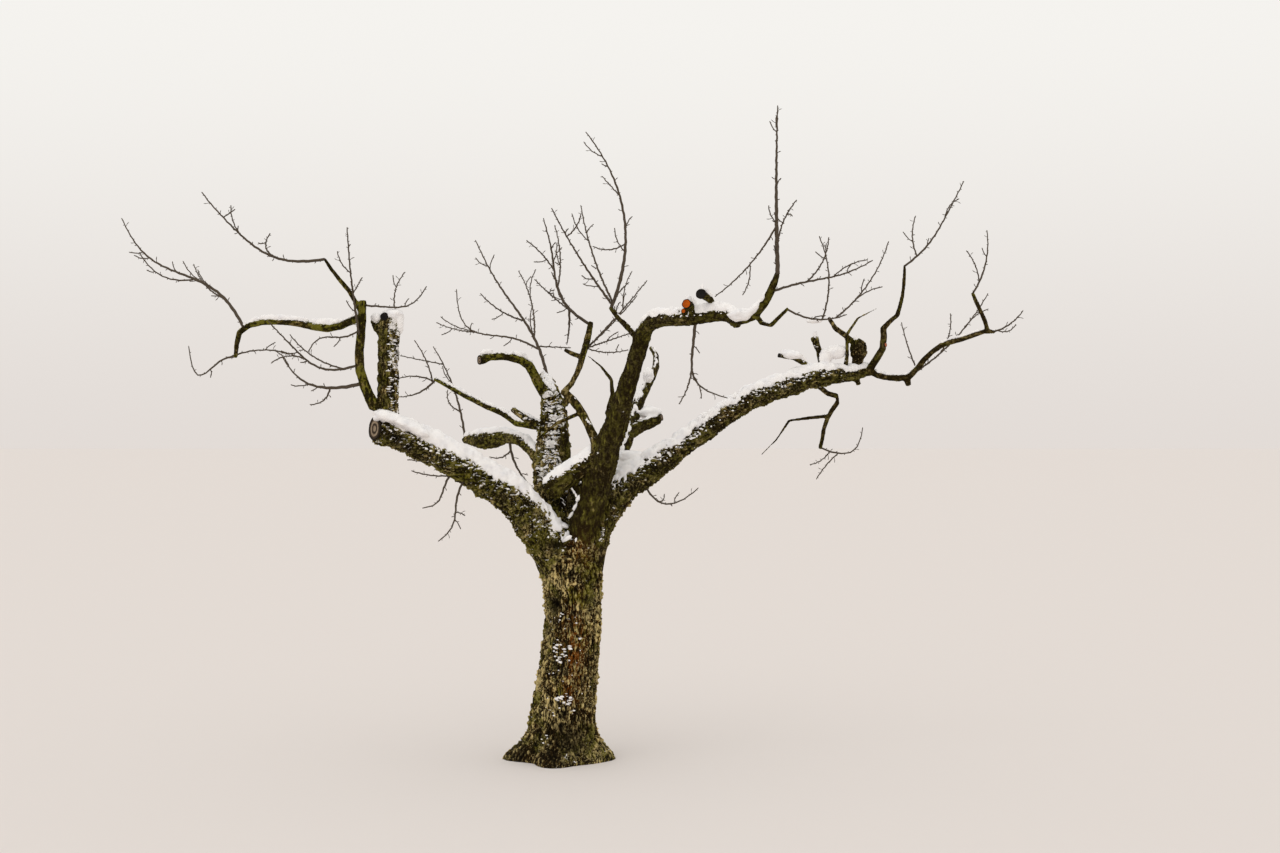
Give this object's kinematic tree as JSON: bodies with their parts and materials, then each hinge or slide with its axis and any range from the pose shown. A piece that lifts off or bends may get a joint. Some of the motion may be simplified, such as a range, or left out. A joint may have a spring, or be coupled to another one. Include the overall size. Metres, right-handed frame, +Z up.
{
  "type": "bare winter tree",
  "caption": "Old hard-pruned orchard fruit tree in winter: leaning trunk, wide spreading boughs, bare twigs and snow lying along the limbs.",
  "frame": {"origin": "middle of the flat cut under the trunk, at ground level", "axes": "+Z up, +X to the right along the widest spread of the crown, -Y towards the viewer"},
  "size_m": [6.7392, 3.2619, 4.6625],
  "materials": {
    "trunk_bark": "rough, scaly, fissured bark with moss, grey-green lichen and flecks of snow",
    "limb_bark": "smoother olive-brown bark with algae",
    "twig_bark": "dark brown young wood, matt",
    "snow": "soft fresh snow with a ragged lower edge"
  },
  "bodies": {
    "root": {"trunk": "trunk_bark", "left_bough": "trunk_bark", "right_bough": "trunk_bark", "centre_leader": "trunk_bark", "right_leader": "trunk_bark", "leader_arm": "trunk_bark", "leader_tip": "limb_bark", "cross_limb": "trunk_bark", "inner_bough": "limb_bark", "inner_riser": "limb_bark", "back_limb": "trunk_bark", "left_upright": "trunk_bark", "left_riser": "limb_bark", "left_arm": "limb_bark", "left_spar": "limb_bark", "centre_elbow": "limb_bark", "centre_arch": "trunk_bark", "centre_spar": "limb_bark", "right_knee": "limb_bark", "right_arm": "limb_bark", "right_riser": "limb_bark", "right_hanger": "limb_bark", "burr": "limb_bark", "twigs_far_left": "twig_bark", "twigs_left_spar": "twig_bark", "twigs_left_fall": "twig_bark", "twigs_left_riser": "twig_bark", "twigs_left_low": "twig_bark", "twigs_left_top": "twig_bark", "twigs_left_inward": "twig_bark", "twigs_arch_end": "twig_bark", "twigs_spar_end": "twig_bark", "twigs_under_left": "twig_bark", "twigs_under_arch": "twig_bark", "twigs_under_right": "twig_bark", "twigs_leader": "twig_bark", "twigs_inner": "twig_bark", "twigs_fan": "twig_bark", "twigs_tall": "twig_bark", "twigs_top": "twig_bark", "twigs_tip_right": "twig_bark", "twigs_hook": "twig_bark", "twigs_arm_hang": "twig_bark", "twigs_knee": "twig_bark", "twigs_arm_up": "twig_bark", "twigs_riser": "twig_bark", "twigs_right_end": "twig_bark", "twigs_hanger": "twig_bark", "snow_left_bough": "snow", "snow_right_bough": "snow", "snow_cross_limb": "snow", "snow_leader_arm": "snow", "snow_leader_tip": "snow", "snow_left_arm": "snow", "snow_centre_elbow": "snow", "snow_centre_arch": "snow"}
  },
  "joints": []
}
